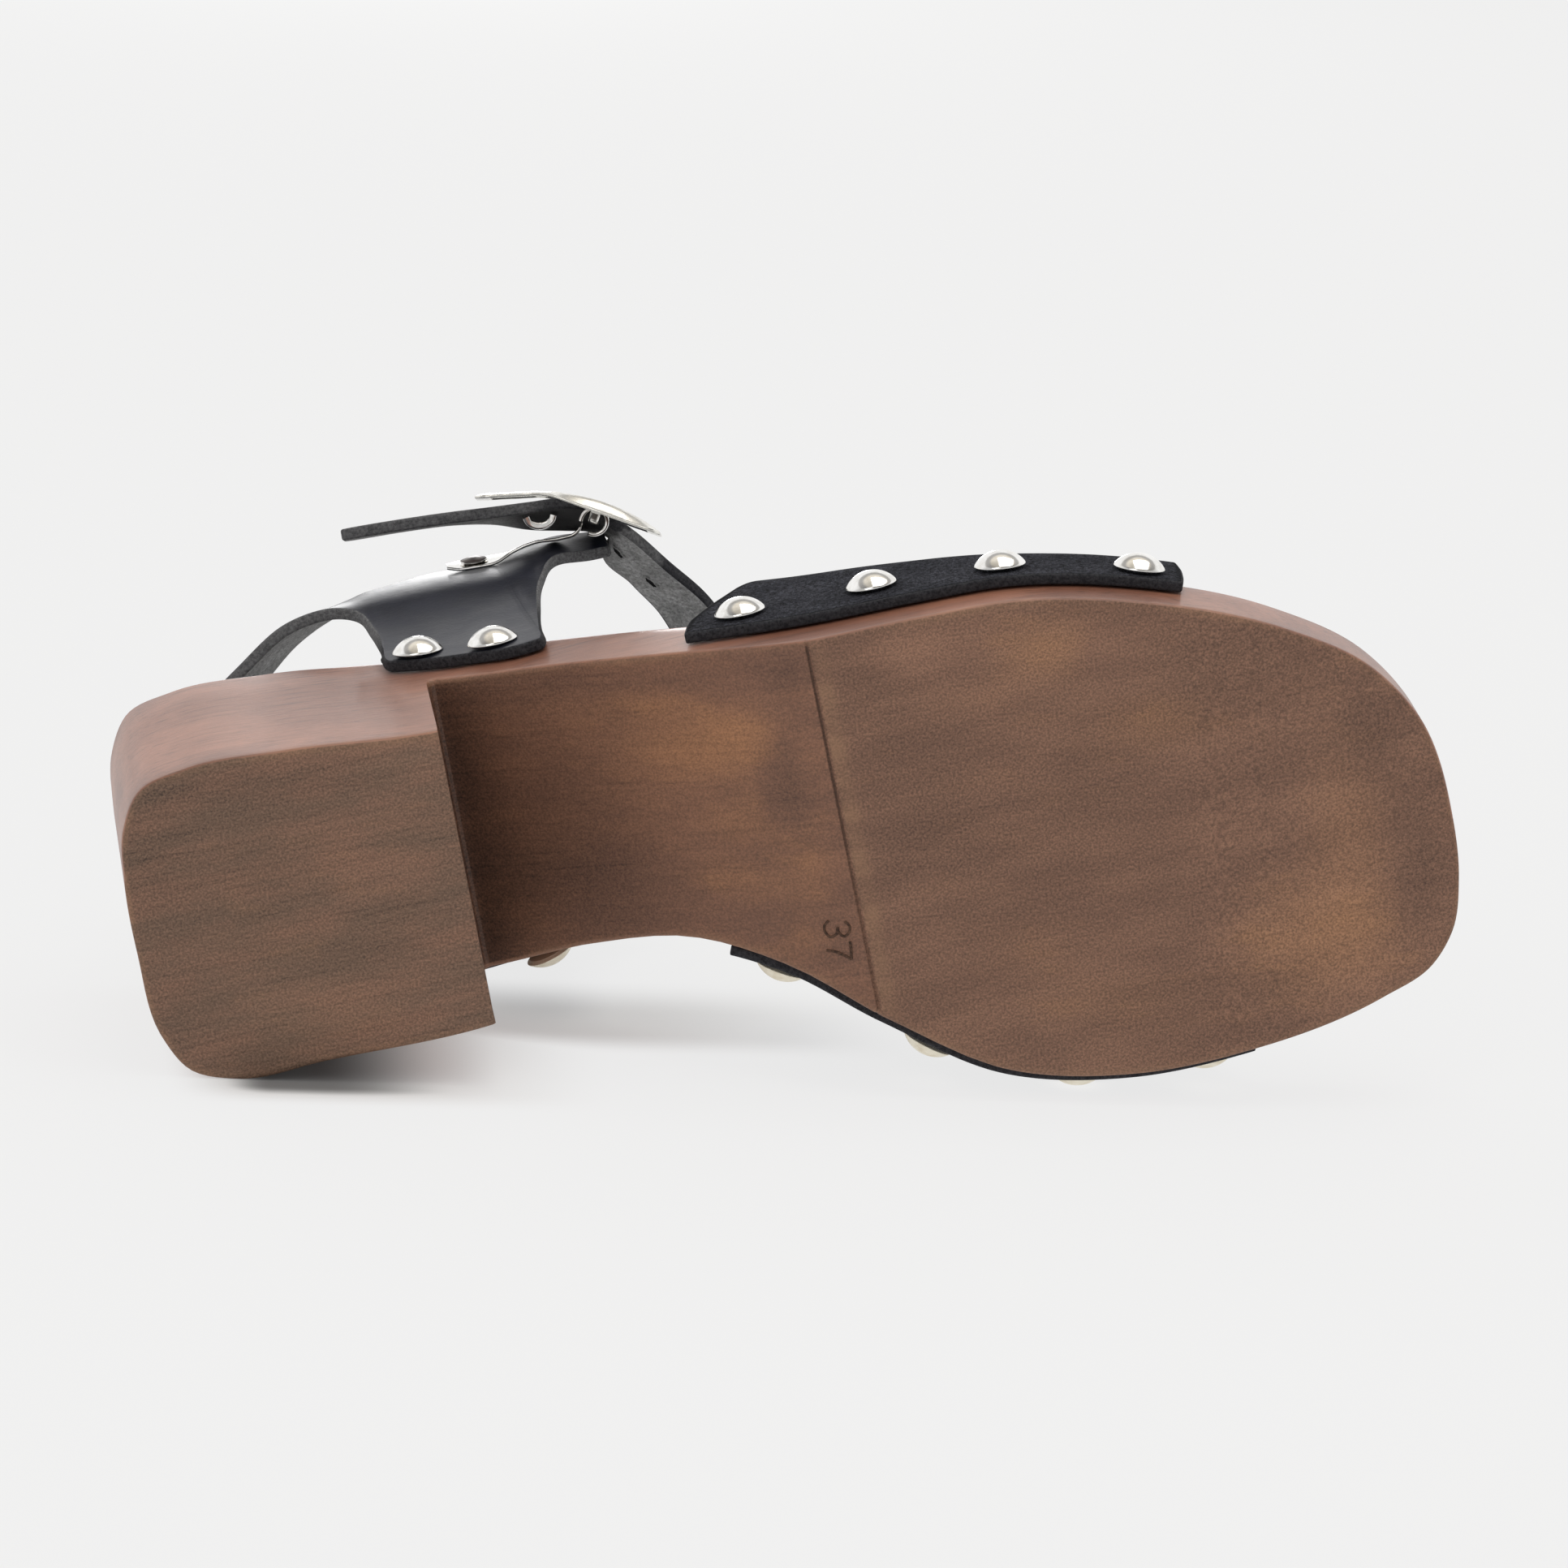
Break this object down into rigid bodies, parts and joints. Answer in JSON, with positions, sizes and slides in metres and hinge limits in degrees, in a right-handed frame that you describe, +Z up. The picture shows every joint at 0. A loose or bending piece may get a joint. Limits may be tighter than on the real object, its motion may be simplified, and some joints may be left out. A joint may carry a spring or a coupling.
{
  "type": "clog sandal",
  "caption": "Open-toe clog sandal with a wooden block-heel sole, a nailed suede band and a leather quarter with a buckled ankle strap, lying on its inner side.",
  "frame": {"origin": "centre of the bounding box on the floor the shoe lies on", "axes": "+X from heel to toe, +Y from the sole's tread towards the foot, +Z up from the floor, towards the shoe's outer side"},
  "size_m": [0.2462, 0.1208, 0.0997],
  "materials": {
    "stained_wood": "satin stained",
    "insole_leather": "smooth",
    "black_suede": "matte nap",
    "black_leather": "smooth semi-gloss",
    "nickel": "polished"
  },
  "bodies": {
    "root": {"wooden_sole": "stained_wood", "insole_sock": "insole_leather", "vamp_band": "black_suede", "quarter_straps": "black_leather", "band_stud_outer_1": "nickel", "band_stud_outer_2": "nickel", "band_stud_outer_3": "nickel", "band_stud_outer_4": "nickel", "band_stud_inner_1": "nickel", "band_stud_inner_2": "nickel", "band_stud_inner_3": "nickel", "band_stud_inner_4": "nickel", "quarter_stud_outer_1": "nickel", "quarter_stud_outer_2": "nickel", "quarter_stud_inner_1": "nickel", "quarter_stud_inner_2": "nickel", "buckle_frame": "nickel", "hook_plate": "nickel", "hook_ring": "nickel", "bar_clip": "nickel", "plate_rivet": "nickel"}
  },
  "joints": []
}
